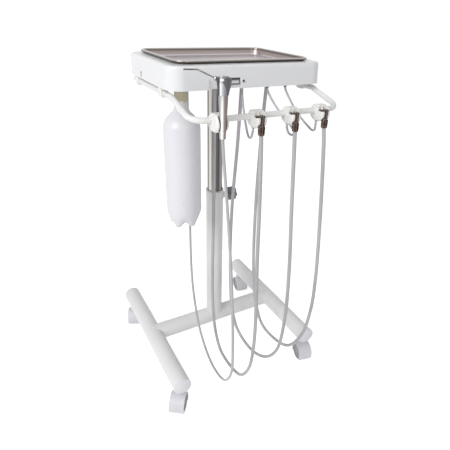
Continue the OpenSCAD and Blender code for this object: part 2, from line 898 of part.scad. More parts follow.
// One side of the rail: half the front bar, its corner, the slope, the bend and the arm
module rail_side() {
    r = rail_d / 2;
    slope_l = kink_run / cos(rail_slope) - kink_cut;
    translate([0, -rail_fwd, rail_z]) rotate([rail_slope, 0, 0]) {
        along_x(0, rail_x - rail_r, r);
        translate([rail_x - rail_r, 0, 0]) sphere(r = r + seam);
        translate([rail_x - rail_r, rail_r, 0])
            rotate(-90) rotate_extrude(angle = 90) translate([rail_r, 0]) circle(r);
        translate([rail_x, rail_r, 0]) sphere(r = r + seam);
        translate([rail_x, 0, 0]) along_y(rail_r, slope_l, r);
        translate([rail_x, slope_l, 0]) sphere(r = r + seam);
    }
    translate([rail_x, -rail_kink + kink_cut, arm_z - kink_r])
        rotate([90, 0, 90]) rotate(90)
            rotate_extrude(angle = rail_slope) translate([kink_r, 0]) circle(r);
    translate([rail_x, -rail_kink + kink_cut, arm_z]) sphere(r = r + seam);
    translate([rail_x, 0, arm_z]) along_y(-rail_kink + kink_cut, rail_rear, r);
    translate([rail_x, rail_rear, arm_z]) sphere(r = r);
}

module rail() {
    color("white") unit() {
        rail_side();
        mirror([1, 0, 0]) rail_side();
    }
}

// Saddle clamps that hold the rail's arms under the pan
module rail_clamps() {
    w = 15;
    l = 22;
    color("whitesmoke") unit()
        for (s = [-1, 1], y = clamp_y)
            translate([s * rail_x, y, 0])
                difference() {
                    translate([-w / 2, -l / 2, arm_z - rail_d / 2 - 2])
                        cube([w, l, pan_z - arm_z + rail_d / 2 + 2]);
                    translate([0, 0, arm_z]) along_y(-l, l, rail_d / 2 + run_fit);
                }
}

// The drum's outline swept across its width, with turned and bevelled ends
module drum(w) {
    e = drum_edge;
    for (y = [drum_back, drum_front])
        translate([0, y, drum_z]) rotate([0, 90, 0])
            rotate_extrude()
                polygon([[0, -w / 2], [drum_r - e, -w / 2], [drum_r, e - w / 2],
                    [drum_r, w / 2 - e], [drum_r - e, w / 2], [0, w / 2]]);
    translate([0, drum_back, drum_z]) rotate([90, 0, 0])
        linear_extrude(height = drum_back - drum_front)
            polygon([
                [-w / 2, e - drum_r], [e - w / 2, -drum_r], [w / 2 - e, -drum_r],
                [w / 2, e - drum_r], [w / 2, drum_r - e], [w / 2 - e, drum_r],
                [e - w / 2, drum_r], [-w / 2, drum_r - e]
            ]);
}

// A slot that is open to the front and round at its seat
module slot(width, z0, z1) {
    translate([0, seat_y, z0]) cylinder(r = width / 2, h = z1 - z0);
    translate([-width / 2, seat_y - drum_r, z0]) cube([width, drum_r, z1 - z0]);
}

// Holder with a shelf between two cheeks; the connector's head rests on the shelf
module holder(x) {
    top = drum_z + drum_r + 1;
    bottom = drum_z - drum_r - 1;
    color("whitesmoke") unit()
        translate([x, 0, 0])
            difference() {
                drum(holder_w);
                translate([0, -rail_fwd, rail_z])
                    along_x(-holder_w, holder_w, rail_d / 2 + run_fit);
                slot(conn_d + 2 * fork_play, bottom, top);
                slot(nut_d + 2 * nut_play, shelf_z, top);
                slot(nut_d + 2 * nut_play, bottom, shelf_z - shelf_t);
                // Room and pin hole for the valve lever on the left cheek
                translate([-holder_w, seat_y - drum_r, shelf_z])
                    cube([holder_w - nut_d / 2 + lever_side, drum_r + lever_room, drum_r]);
                translate([lever_x, lever_y, shelf_z - 6])
                    cylinder(r = 1.2 + run_fit, h = 8);
            }
}

module holder_left() { holder(holder_x[1]); }
module holder_middle() { holder(holder_x[2]); }
module holder_right() { holder(holder_x[3]); }

// The syringe's holder: a cone under the tapered handle, open to the front
module syringe_holder() {
    z0 = drum_z - drum_r - 1;
    z1 = drum_z + drum_r + 1;
    color("whitesmoke") unit()
        translate([syr_x, 0, 0])
            difference() {
                drum(syringe_holder_w);
                translate([0, -rail_fwd, rail_z])
                    along_x(-syringe_holder_w, syringe_holder_w, rail_d / 2 + run_fit);
                translate([0, seat_y, z0])
                    cylinder(r1 = handle_r(z0) + gap, r2 = handle_r(z1) + gap, h = z1 - z0);
                translate([-handle_d0 / 2 - gap, seat_y - drum_r, z0])
                    cube([handle_d0 + 2 * gap, drum_r, z1 - z0]);
            }
}

// A valve lever: it swings after the connector when that leaves the fork
module lever(x) {
    tip = -conn_head_d / 2 - gap;
    color("#2b2522") unit()
        translate([x, 0, shelf_z + gap]) {
            linear_extrude(height = lever_t) {
                translate([lever_x, lever_y]) circle(2.4);
                polygon([
                    [lever_x - 2.2, lever_y], [lever_x - 4.4, lever_y - lever_reach],
                    [tip - 0.4, lever_y - lever_reach + 0.2], [tip - 0.6, lever_y - 5],
                    [lever_x + 2.2, lever_y]
                ]);
            }
            translate([lever_x, lever_y, -5]) cylinder(r = 1.2, h = 6);
        }
}

module lever_left() { lever(holder_x[1]); }
module lever_middle() { lever(holder_x[2]); }
module lever_right() { lever(holder_x[3]); }

module holder_barbs() {
    color("silver") unit()
        for (i = [1, 2, 3])
            translate([holder_x[i] + barb_x, barb_y, drum_z - drum_r - barb_l])
                rotate_extrude($fn = 24)
                    polygon([[0, 0], [1.8, 0], [2.5, 1], [2, 2.5], [2, barb_l - 2],
                        [3.2, barb_l - 2], [3.2, barb_l], [0, barb_l]]);
}

// ---- Handpiece connectors ----

module connector(x) {
    r = conn_d / 2;
    head_r = conn_head_d / 2;
    z = shelf_z + gap;
    color("#6b5340") unit()
        translate([x, seat_y, 0]) {
            translate([0, 0, nut_top + gap]) cylinder(r = r, h = z - nut_top);
            translate([0, 0, z])
                rotate_extrude()
                    polygon([[0, 0], [head_r, 0], [head_r, conn_head_h - 1],
                        [head_r - 1, conn_head_h], [0, conn_head_h]]);
            translate([0, 0, nut_top - 8]) cylinder(r = r - 1.2, h = 9);
        }
}

module connector_left() { connector(holder_x[1]); }
module connector_middle() { connector(holder_x[2]); }
module connector_right() { connector(holder_x[3]); }

// The coupling nut: a ring above a fluted sleeve
module connector_nut(x) {
    r = nut_d / 2;
    flutes = 12;
    color("#5a4636") unit()
        translate([x, seat_y, nut_bottom])
            difference() {
                rotate_extrude()
                    polygon([[0, 0], [r - 1, 0], [r, 1], [r, nut_h * 0.3],
                        [r - 0.6, nut_h * 0.35], [r - 0.6, nut_h - 4], [r - 2, nut_h],
                        [0, nut_h]]);
                translate([0, 0, nut_h - 8 - gap])
                    cylinder(r = conn_d / 2 - 1.2 + run_fit, h = 9);
                for (i = [0:flutes - 1])
                    rotate(360 / flutes * i)
                        translate([r + 0.7, 0, -1]) cylinder(r = 1.2, h = nut_h * 0.3, $fn = 16);
            }
}

module connector_nut_left() { connector_nut(holder_x[1]); }
module connector_nut_middle() { connector_nut(holder_x[2]); }
module connector_nut_right() { connector_nut(holder_x[3]); }

// ---- Three-way syringe ----

module at_syringe(z) {
    translate([syr_x, seat_y, z]) rotate(90 + 90 - tip_turn) children();
}

module syringe_handle() {
    r0 = handle_d0 / 2;
    r1 = handle_d1 / 2;
    color("silver") unit()
        translate([syr_x, seat_y, handle_z])
            rotate_extrude()
                polygon([[0, 0], [r0 - 1.5, 0], [r0, 1.5], [r1, handle_h - 2],
                    [r1 - 1, handle_h], [0, handle_h]]);
}

// The head: its side outline, rounded by an upright cylinder, with a shield-shaped face
module syringe_head() {
    r = handle_d1 / 2;
    h = syr_head_h;
    color("silver") unit() at_syringe(handle_top)
        difference() {
            intersection() {
                rotate([90, 0, 0])
                    translate([0, 0, -r])
                        linear_extrude(height = 2 * r)
                            polygon([
                                [-r, 0.2], [-r, 9], [-face_d, 13], [-face_d, h - 4],
                                [4 - face_d, h], [5, h],
                                [nose_d, h - 2], [nose_d, h - 12], [r, h - 20], [r, 0.2]
                            ]);
                union() {
                    cylinder(r = r, h = h);
                    translate([0, -r * 0.62, 0]) cube([nose_d, r * 1.24, h]);
                }
            }
            // Bores of the two buttons and of the tip
            for (s = [-1, 1])
                translate([0, s * (syr_button_d / 2 + gap), button_rise])
                    along_x(-r, press + 1.5 - face_d + 7, syr_button_d / 2 - 1 + run_fit);
            translate([nose_d + gap, 0, nose_z - handle_top])
                rotate([0, -tip_rise, 0]) along_x(-6, 3, tip_d / 2 + run_fit);
        }
}

module at_tip() {
    at_syringe(nose_z)
        translate([nose_d + gap, 0, 0]) rotate([0, -tip_rise, 0])
            children();
}

module tip_nut() {
    r = tip_d_nut / 2;
    color("silver") unit() at_tip()
        rotate([0, 90, 0]) difference() {
            rotate_extrude()
                polygon([[0, 1.3], [r, 1.3], [r, tip_nut_l - 2], [r - 1.4, tip_nut_l],
                    [0, tip_nut_l]]);
            translate([0, 0, -1]) cylinder(r = tip_d / 2 + run_fit, h = tip_nut_l + 2);
        }
}

// The bent tip: a straight stretch in the nut, one bend and the end stretch
module syringe_tip() {
    r = tip_d / 2;
    color("silver") unit() at_tip() {
        along_x(-4, tip_len1, r);
        translate([tip_len1, 0, 0]) sphere(r = r + seam);
        translate([tip_len1, 0, -tip_bend_r])
            rotate([90, 0, 0]) rotate(90 - tip_bend)
                rotate_extrude(angle = tip_bend) translate([tip_bend_r, 0]) circle(r);
        translate([tip_len1, 0, -tip_bend_r]) rotate([0, tip_bend, 0])
            translate([0, 0, tip_bend_r]) {
                sphere(r = r + seam);
                along_x(0, tip_len2, r);
            }
    }
}

module syringe_button(s) {
    r = syr_button_d / 2;
    color("#3a3f45") unit() at_syringe(handle_top)
        translate([-face_d - press, s * (r + gap), button_rise]) {
            along_x(-1.5, 0, r);
            along_x(-1, press + 6, r - 1);
        }
}

module air_button() { syringe_button(1); }
module water_button() { syringe_button(-1); }

// ---- Water bottle ----

// Outer radius of the shoulder: a quarter of an ellipse from the neck's foot to the side
function shoulder(steps, inset) =
    [for (i = [0:steps]) let (a = 90 * i / steps) [
        neck_d / 2 + 4 - inset + (bottle_d / 2 - neck_d / 2 - 4) * cos(a),
        shoulder_z + (neck_foot - shoulder_z) * sin(a)
    ]];

module bottle_solid(inset) {
    z0 = bottle_z + inset * 5;
    rotate_extrude($fn = 72)
        polygon(concat(
            [[0, z0 + 2], [base_r - 14, z0], [base_r - inset, z0],
                [bottle_d / 2 - inset, bottle_z + base_chamfer]],
            [for (p = shoulder(12, inset)) if (p[1] < neck_foot + 1) p],
            [[neck_d / 2 - inset, neck_foot + 6], [neck_d / 2 - inset, neck_top + inset],
                [0, neck_top + inset]]
        ));
}

// A blown bottle: the shell, with five valleys between its feet
module bottle() {
    color("white", 0.7) unit()
        translate([-bottle_x, -bottle_y, 0])
            difference() {
                bottle_solid(0);
                bottle_solid(bottle_wall);
                for (i = [0:4])
                    rotate(72 * i)
                        translate([0, 0, bottle_z]) along_x(10, bottle_d, 5.5);
            }
}

// The cap that stays on the head; the neck screws up into it
module bottle_adapter() {
    color("#ddd3b5") unit()
        translate([-bottle_x, -bottle_y, neck_z]) {
            difference() {
                cylinder(r = adapter_d / 2, h = adapter_h);
                translate([0, 0, -1])
                    cylinder(r = neck_d / 2 + run_fit, h = neck_in + 1 + gap);
            }
            // The small air tube beside the cap
            translate([neck_d / 2 + air_tube_d / 2 + 0.5, 0, -air_tube_l])
                cylinder(r = air_tube_d / 2, h = air_tube_l + 1);
        }
}

module pickup_tube() {
    z0 = bottle_z + pickup_lift;
    color("gray") unit()
        translate([-bottle_x, -bottle_y, z0])
            cylinder(r = pickup_d / 2, h = neck_top + gap - z0);
}

// ---- Hoses ----

function unit_of(v) = v / norm(v);
function heading(p, i) =
    i == 0 ? [0, 0, sign(p[1][2] - p[0][2])] :
    i == len(p) - 1 ? [0, 0, sign(p[i][2] - p[i - 1][2])] :
    unit_of(unit_of(p[i + 1] - p[i]) + unit_of(p[i] - p[i - 1]));
function sides(p, i, u) =
    i == len(p) ? [] :
    let (t = heading(p, i), v = unit_of(u - (u * t) * t))
    concat([v], sides(p, i + 1, v));

// A round tube swept along a route, its end faces level
module tube(p, d, n) {
    u = sides(p, 0, [1, 0, 0]);
    last = (len(p) - 1) * n;
    points = [
        for (i = [0:len(p) - 1], k = [0:n - 1])
            let (a = 360 * k / n, t = heading(p, i))
            p[i] + d / 2 * (cos(a) * u[i] + sin(a) * cross(t, u[i]))
    ];
    skin = [
        for (i = [0:len(p) - 2], k = [0:n - 1])
            let (a = i * n + k, b = i * n + (k + 1) % n)
            each [[a, b, b + n], [a, b + n, a + n]]
    ];
    caps = [for (k = [1:n - 2]) each [[0, k + 1, k], [last, last + k, last + k + 1]]];
    polyhedron(points = points, faces = [for (f = concat(skin, caps)) [f[2], f[1], f[0]]]);
}

module syringe_hose() {
    color("gainsboro") unit() tube(route_syringe, syringe_hose_d, 8);
}

module hose_left() {
    color("gainsboro") unit() tube(route_left, hose_d, 10);
}

module hose_middle() {
    color("gainsboro") unit() tube(route_middle, hose_d, 10);
}

module hose_right() {
    color("gainsboro") unit() tube(route_right, hose_d, 10);
}

module signal_tubes() {
    color("gray") unit()
        for (p = routes_signal) tube(p, signal_d, 8);
}

// Hex glands under the pan, and small round ones for the signal tubes
module hose_glands() {
    color("dimgray") unit() {
        for (p = gland_xy)
            translate([p[0], p[1], pan_z - gland_h]) {
                cylinder(r = gland_d / 2 - 1.5, h = gland_h);
                translate([0, 0, gland_h * 0.4])
                    cylinder(r = gland_d / 2, h = gland_h * 0.6, $fn = 6);
            }
        for (p = signal_xy)
            translate([p[0], p[1], pan_z - signal_gland_h])
                cylinder(r = signal_d / 2 + 1.5, h = signal_gland_h);
    }
}

// Plate with three stubs for the supply and foot-control tubes
module supply_inlet() {
    color("silver") unit()
        translate([0, inlet_y, pan_z]) {
            translate([0, 0, -inlet_plate_t])
                linear_extrude(height = inlet_plate_t)
                    rounded(inlet_plate_w, inlet_plate_l, 5);
            for (i = [-1, 0, 1])
                translate([inlet_pitch * i, 0, -inlet_plate_t - inlet_l])
                    cylinder(r = i == 0 ? inlet_r : inlet_r - 1, h = inlet_l);
        }
}

left_leg();
right_leg();
cross_bar();
lower_post();
leg_end_caps();
post_bushing();
clamp_boss();
caster_hood_fl();
caster_hood_fr();
caster_hood_bl();
caster_hood_br();
caster_wheels_fl();
caster_wheels_fr();
caster_wheels_bl();
caster_wheels_br();
clamp_knob();
upper_post();
head_mount();
bottom_pan();
housing();
control_block();
air_regulator();
housing_screws();
rail();
rail_clamps();
gauge_case();
gauge_lens();
gauge_pointer();
front_button();
tray();
syringe_holder();
holder_left();
holder_middle();
holder_right();
lever_left();
lever_middle();
lever_right();
holder_barbs();
syringe_handle();
syringe_head();
tip_nut();
syringe_tip();
air_button();
water_button();
connector_left();
connector_middle();
connector_right();
connector_nut_left();
connector_nut_middle();
connector_nut_right();
bottle();
bottle_adapter();
pickup_tube();
syringe_hose();
hose_left();
hose_middle();
hose_right();
signal_tubes();
hose_glands();
supply_inlet();
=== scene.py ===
import json
import math

import bmesh
import bpy
from mathutils import Matrix, Vector


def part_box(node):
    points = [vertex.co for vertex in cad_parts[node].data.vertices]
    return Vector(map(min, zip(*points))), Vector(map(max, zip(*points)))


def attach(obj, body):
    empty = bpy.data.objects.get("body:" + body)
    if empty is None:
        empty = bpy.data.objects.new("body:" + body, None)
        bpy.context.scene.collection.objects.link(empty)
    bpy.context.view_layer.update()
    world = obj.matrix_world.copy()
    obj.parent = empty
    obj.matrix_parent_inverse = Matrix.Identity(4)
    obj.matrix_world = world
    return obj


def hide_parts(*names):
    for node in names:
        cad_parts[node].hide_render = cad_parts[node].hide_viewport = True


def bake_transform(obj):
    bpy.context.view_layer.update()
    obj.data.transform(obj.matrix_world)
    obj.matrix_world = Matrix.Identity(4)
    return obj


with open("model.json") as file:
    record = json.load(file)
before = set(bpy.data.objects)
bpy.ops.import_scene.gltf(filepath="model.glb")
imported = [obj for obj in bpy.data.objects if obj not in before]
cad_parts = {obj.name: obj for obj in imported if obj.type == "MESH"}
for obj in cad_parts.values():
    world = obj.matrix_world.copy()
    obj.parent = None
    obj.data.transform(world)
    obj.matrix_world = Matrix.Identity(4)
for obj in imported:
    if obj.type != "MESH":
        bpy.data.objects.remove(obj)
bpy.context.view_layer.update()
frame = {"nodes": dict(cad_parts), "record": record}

post_low, post_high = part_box("upper_post")
post_x = (post_low.x + post_high.x) / 2
post_y = (post_low.y + post_high.y) / 2


# ---- Camera ----
# It stands in front of the unit, to its left and above the tray, and looks down at it.
camera_place = (-0.48649, -0.95945, 1.0173)
camera_yaw = math.radians(31.64)
camera_pitch = math.radians(27.36)
camera_roll = math.radians(2.75)
ahead = Vector((math.sin(camera_yaw) * math.cos(camera_pitch),
                math.cos(camera_yaw) * math.cos(camera_pitch), -math.sin(camera_pitch)))
level = Vector((math.cos(camera_yaw), -math.sin(camera_yaw), 0))
above = level.cross(ahead)
camera_right = level * math.cos(camera_roll) + above * math.sin(camera_roll)
camera_up = above * math.cos(camera_roll) - level * math.sin(camera_roll)
lens = bpy.data.cameras.new("camera")
lens.lens = 33.48
lens.sensor_width = 36
lens.shift_x = -0.0513
lens.shift_y = -0.0089
lens.clip_start = 0.05
lens.clip_end = 60
camera = bpy.data.objects.new("camera", lens)
turn = Matrix((camera_right, camera_up, -ahead)).transposed().to_4x4()
camera.matrix_world = Matrix.Translation(camera_place) @ turn
bpy.context.scene.collection.objects.link(camera)
bpy.context.scene.camera = camera


# ---- Hoses to the handpieces and the syringe ----
# Four silicone hoses leave the pan through glands, hang in long loops and come up to the
# connectors in front.
hose_width = 0.009
syringe_hose_width = 0.0065
hose_routes = {
    "syringe": [(-93, -35, 847), (-93, -35, 600), (-93, -36, 330), (-98, -60, 250),
                (-106, -122, 156), (-117, -213, 123), (-127, -294, 142), (-132, -336, 174),
                (-137, -371, 240), (-137, -372, 330), (-134, -352, 490), (-130, -318, 650),
                (-129, -296, 755), (-129, -292, 783)],
    "left": [(-36, -68, 847), (-36, -67, 560), (-35, -62, 190), (-36, -88, 85),
             (-37, -126, 44), (-38, -190, 41), (-40, -252, 64), (-41, -298, 135),
             (-41, -314, 225), (-42, -317, 330), (-41, -307, 470), (-41, -302, 620),
             (-41, -294, 760), (-41, -292, 781)],
    "middle": [(27, -88, 847), (27, -77, 700), (26, -58, 500), (26, -57, 290),
               (27, -76, 150), (30, -113, 90), (36, -190, 71), (41, -255, 99),
               (45, -302, 165), (46, -322, 290), (46, -319, 442), (45, -306, 600),
               (44, -294, 760), (44, -292, 781)],
    "right": [(92, -98, 847), (91, -90, 740), (90, -82, 480), (89, -92, 290),
              (93, -112, 175), (99, -145, 113), (108, -198, 97), (117, -256, 110),
              (126, -304, 185), (129, -325, 290), (129, -327, 390), (127, -316, 560),
              (124, -296, 755), (123, -292, 781)],
}


def placed(point):
    """A point given in millimetres from the post's axis, in the row frame."""
    return Vector((post_x + point[0] / 1000, post_y + point[1] / 1000, point[2] / 1000))


def smooth_route(points, step):
    """A centripetal curve through the points, with rings about a step apart."""
    pts = [points[0] + (points[0] - points[1])] + points + [points[-1] + (points[-1] - points[-2])]
    route = []
    for i in range(1, len(pts) - 2):
        a, b, c, d = pts[i - 1:i + 3]
        t0 = 0.0
        t1 = t0 + math.sqrt((b - a).length)
        t2 = t1 + math.sqrt((c - b).length)
        t3 = t2 + math.sqrt((d - c).length)
        count = max(2, round((c - b).length / step))
        for k in range(count):
            t = t1 + (t2 - t1) * k / count
            a1 = a * ((t1 - t) / (t1 - t0)) + b * ((t - t0) / (t1 - t0))
            a2 = b * ((t2 - t) / (t2 - t1)) + c * ((t - t1) / (t2 - t1))
            a3 = c * ((t3 - t) / (t3 - t2)) + d * ((t - t2) / (t3 - t2))
            b1 = a1 * ((t2 - t) / (t2 - t0)) + a2 * ((t - t0) / (t2 - t0))
            b2 = a2 * ((t3 - t) / (t3 - t1)) + a3 * ((t - t1) / (t3 - t1))
            route.append(b1 * ((t2 - t) / (t2 - t1)) + b2 * ((t - t1) / (t2 - t1)))
    route.append(pts[-2])
    return route


def link_nodes(tree, *pairs):
    for start, end in pairs:
        tree.links.new(start, end)


def tube_tree():
    """Sweeps a circle along the piece's edges, with a ripple for a weld."""
    tree = bpy.data.node_groups.new("tube_along_route", "GeometryNodeTree")
    face = tree.interface
    face.new_socket("Geometry", in_out="INPUT", socket_type="NodeSocketGeometry")
    names = {}
    for name, kind in (("Radius", "NodeSocketFloat"), ("Sides", "NodeSocketInt"),
                       ("Ripple", "NodeSocketFloat"), ("Finish", "NodeSocketMaterial")):
        names[name] = face.new_socket(name, in_out="INPUT", socket_type=kind).identifier
    face.new_socket("Geometry", in_out="OUTPUT", socket_type="NodeSocketGeometry")
    new = tree.nodes.new
    source, result = new("NodeGroupInput"), new("NodeGroupOutput")
    line = new("GeometryNodeMeshToCurve")
    ring = new("GeometryNodeCurvePrimitiveCircle")
    sweep = new("GeometryNodeCurveToMesh")
    sweep.inputs["Fill Caps"].default_value = True
    normal = new("GeometryNodeInputNormal")
    noise = new("ShaderNodeTexNoise")
    noise.inputs["Scale"].default_value = 260
    centred = new("ShaderNodeMath")
    centred.operation = "SUBTRACT"
    centred.inputs[1].default_value = 0.5
    height = new("ShaderNodeMath")
    height.operation = "MULTIPLY"
    shift = new("ShaderNodeVectorMath")
    shift.operation = "SCALE"
    move = new("GeometryNodeSetPosition")
    smooth = new("GeometryNodeSetShadeSmooth")
    realize = new("GeometryNodeRealizeInstances")
    finish = new("GeometryNodeSetMaterial")
    link_nodes(
        tree, (source.outputs["Geometry"], line.inputs["Mesh"]),
        (source.outputs["Sides"], ring.inputs["Resolution"]),
        (source.outputs["Radius"], ring.inputs["Radius"]),
        (line.outputs["Curve"], sweep.inputs["Curve"]),
        (ring.outputs["Curve"], sweep.inputs["Profile Curve"]),
        (noise.outputs["Fac"], centred.inputs[0]), (centred.outputs[0], height.inputs[0]),
        (source.outputs["Ripple"], height.inputs[1]),
        (normal.outputs["Normal"], shift.inputs[0]), (height.outputs[0], shift.inputs["Scale"]),
        (sweep.outputs["Mesh"], move.inputs["Geometry"]),
        (shift.outputs["Vector"], move.inputs["Offset"]),
        (move.outputs["Geometry"], smooth.inputs["Geometry"]),
        (smooth.outputs["Geometry"], realize.inputs["Geometry"]),
        (realize.outputs["Geometry"], finish.inputs["Geometry"]),
        (source.outputs["Finish"], finish.inputs["Material"]),
        (finish.outputs["Geometry"], result.inputs["Geometry"]))
    return tree, names


def run_tree(piece, tree, names, **values):
    """Runs a tree on a piece and keeps what it makes as the piece's plain mesh."""
    step = piece.modifiers.new("made", "NODES")
    step.node_group = tree
    for name, value in values.items():
        step[names[name]] = value
    bpy.context.view_layer.update()
    made = piece.evaluated_get(bpy.context.evaluated_depsgraph_get())
    mesh = bpy.data.meshes.new_from_object(made)
    piece.modifiers.clear()
    piece.data = mesh
    mesh.name = piece.name
    return piece


def new_piece(name, mesh):
    piece = bpy.data.objects.new(name, mesh)
    bpy.context.scene.collection.objects.link(piece)
    return piece


tube_group, tube_names = tube_tree()


def swept(name, route, radius, finish, sides=20, ripple=0.0, closed=False):
    """A round bar or tube along a route."""
    mesh = bpy.data.meshes.new(name)
    edges = [(i, i + 1) for i in range(len(route) - 1)]
    if closed:
        edges.append((len(route) - 1, 0))
    mesh.from_pydata([tuple(p) for p in route], edges, [])
    piece = new_piece(name, mesh)
    return run_tree(piece, tube_group, tube_names, Radius=radius, Sides=sides,
                    Ripple=ripple, Finish=finish)


def ramp_of(tree, stops):
    """A colour ramp with the given places and tones."""
    ramp = tree.nodes.new("ShaderNodeValToRGB")
    marks = ramp.color_ramp.elements
    for k, (spot, tone) in enumerate(stops):
        mark = marks[k] if k < 2 else marks.new(spot)
        mark.position = spot
        mark.color = (*tone, 1)
    return ramp


def finish_of(name, light, dark, rough, grain=40.0, stretch=(1, 1, 1), metal=0.0,
              relief=0.0, relief_grain=900.0, **shader):
    """A material whose colour and roughness wander between two tones, with a fine relief."""
    skin = bpy.data.materials.new(name)
    skin.use_nodes = True
    tree = skin.node_tree
    body = tree.nodes["Principled BSDF"]
    body.inputs["Metallic"].default_value = metal
    for socket, value in shader.items():
        body.inputs[socket.replace("_", " ")].default_value = value
    place = tree.nodes.new("ShaderNodeTexCoord")
    shape = tree.nodes.new("ShaderNodeMapping")
    shape.inputs["Scale"].default_value = stretch
    cloud = tree.nodes.new("ShaderNodeTexNoise")
    cloud.inputs["Scale"].default_value = grain
    cloud.inputs["Detail"].default_value = 5
    tones = ramp_of(tree, ((0.32, dark), (0.68, light)))
    gloss = tree.nodes.new("ShaderNodeMapRange")
    gloss.inputs["From Min"].default_value = 0.3
    gloss.inputs["From Max"].default_value = 0.7
    gloss.inputs["To Min"].default_value = rough[0]
    gloss.inputs["To Max"].default_value = rough[1]
    link_nodes(
        tree, (place.outputs["Object"], shape.inputs["Vector"]),
        (shape.outputs["Vector"], cloud.inputs["Vector"]),
        (cloud.outputs["Fac"], tones.inputs["Fac"]),
        (tones.outputs["Color"], body.inputs["Base Color"]),
        (cloud.outputs["Fac"], gloss.inputs["Value"]),
        (gloss.outputs["Result"], body.inputs["Roughness"]))
    if relief:
        fine = tree.nodes.new("ShaderNodeTexNoise")
        fine.inputs["Scale"].default_value = relief_grain
        fine.inputs["Detail"].default_value = 2
        bump = tree.nodes.new("ShaderNodeBump")
        bump.inputs["Strength"].default_value = 1.0
        bump.inputs["Distance"].default_value = relief
        link_nodes(tree, (shape.outputs["Vector"], fine.inputs["Vector"]),
                   (fine.outputs["Fac"], bump.inputs["Height"]),
                   (bump.outputs["Normal"], body.inputs["Normal"]))
    return skin


hose_silicone = finish_of("hose_silicone", (0.50, 0.50, 0.52), (0.40, 0.40, 0.42),
                          (0.22, 0.34), grain=60, stretch=(1, 1, 0.15), relief=0.00004)
for tool, stops in hose_routes.items():
    centre_line = smooth_route([placed(p) for p in stops], 0.006)
    thick = syringe_hose_width if tool == "syringe" else hose_width
    hose = swept("hose_" + tool + "_line", centre_line, thick / 2, hose_silicone, 16)
    node = "syringe_hose" if tool == "syringe" else "hose_" + tool
    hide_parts(node)
    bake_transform(hose)


# ---- Signal tubes ----
# Three thin tubes loop from the pan to a barb under each holder. Air leaves through them
# when a handpiece is taken, and the control block opens its valve.
signal_width = 0.005
signal_routes = [
    [(-11, -156, 851), (-13, -160, 842), (-21, -180, 818), (-30, -205, 795),
     (-37, -225, 780), (-43, -242, 771), (-48, -257, 768), (-50, -268, 772),
     (-49.5, -273, 787)],
    [(45, -172, 851), (46, -175, 843), (52, -192, 821), (60, -215, 799),
     (66, -235, 784), (69, -250, 774), (64, -264, 768), (51, -271, 767),
     (40, -273, 775), (35.5, -273, 787)],
    [(94, -173, 851), (95, -176, 843), (98, -186, 829), (105, -205, 805),
     (111, -225, 787), (116, -245, 774), (118, -258, 768), (117, -268, 771),
     (114.5, -273, 787)],
]
signal_vinyl = finish_of("signal_vinyl", (0.52, 0.52, 0.57), (0.40, 0.40, 0.44),
                         (0.22, 0.34), grain=90, relief=0.00003)
for side, stops in zip(("left", "middle", "right"), signal_routes):
    centre_line = smooth_route([placed(p) for p in stops], 0.003)
    tube = swept("signal_tube_" + side, centre_line, signal_width / 2, signal_vinyl, 14)
    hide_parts("signal_tubes")
    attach(tube, "head")


# ---- Base ----
# Two round steel legs on a cross bar, with the lower post welded upright on it. The frame
# is powder coated white in one go, over its weld beads.
body_of_node = {n: b for b, ns in frame["record"]["behaviour"]["bodies"].items() for n in ns}


def dress(node, piece_name, finish, edge=0.0006, sharp=32.0, steps=2):
    """A finished copy of a CAD node: faces joined, edges rounded, curves smooth."""
    work = bmesh.new()
    work.from_mesh(frame["nodes"][node].data)
    bmesh.ops.remove_doubles(work, verts=work.verts, dist=2e-6)
    bmesh.ops.dissolve_limit(work, angle_limit=math.radians(0.6), verts=work.verts,
                             edges=work.edges)
    mesh = bpy.data.meshes.new(piece_name)
    work.to_mesh(mesh)
    work.free()
    old = mesh.attributes.get("custom_normal")
    if old:
        mesh.attributes.remove(old)
    mesh.materials.clear()
    mesh.materials.append(finish)
    for face in mesh.polygons:
        face.use_smooth = True
        face.material_index = 0
    mesh.set_sharp_from_angle(angle=math.radians(sharp))
    piece = new_piece(piece_name, mesh)
    if edge:
        bevel = piece.modifiers.new("edge", "BEVEL")
        bevel.width = edge
        bevel.segments = steps
        bevel.limit_method = "ANGLE"
        bevel.angle_limit = math.radians(sharp)
        bevel.harden_normals = False
        even = piece.modifiers.new("even", "WEIGHTED_NORMAL")
        even.keep_sharp = True
    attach(piece, body_of_node[node])
    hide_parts(node)
    return piece


powder_coat = finish_of("powder_coat", (0.84, 0.84, 0.84), (0.79, 0.79, 0.795),
                        (0.30, 0.38), grain=7, relief=0.00006, relief_grain=420)
for node, piece_name in (("left_leg", "leg_tube_left"), ("right_leg", "leg_tube_right"),
                         ("cross_bar", "cross_bar_tube"), ("lower_post", "lower_post_tube"),
                         ("clamp_boss", "clamp_boss_weldment")):
    dress(node, piece_name, powder_coat, edge=0.0005)

leg_x = 0.210
leg_z = 0.090
tube_r = 0.025
bead_r = 0.0016
for side in (-1, 1):
    bead = []
    for k in range(72):
        a = 2 * math.pi * k / 72
        bead.append(placed((0, 0, 0)) + Vector((
            side * (leg_x - abs(tube_r * math.sin(a))), tube_r * math.sin(a),
            leg_z + tube_r * math.cos(a))))
    weld = swept("leg_weld_left" if side < 0 else "leg_weld_right", bead, bead_r,
                 powder_coat, 10, ripple=0.0006, closed=True)
    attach(weld, "base")
foot_bead = []
for k in range(72):
    a = 2 * math.pi * k / 72
    foot_bead.append(placed((0, 0, 0)) + Vector((
        tube_r * math.cos(a), tube_r * math.sin(a), leg_z + abs(tube_r * math.cos(a)))))
weld = swept("post_weld", foot_bead, bead_r, powder_coat, 10, ripple=0.0006, closed=True)
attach(weld, "base")


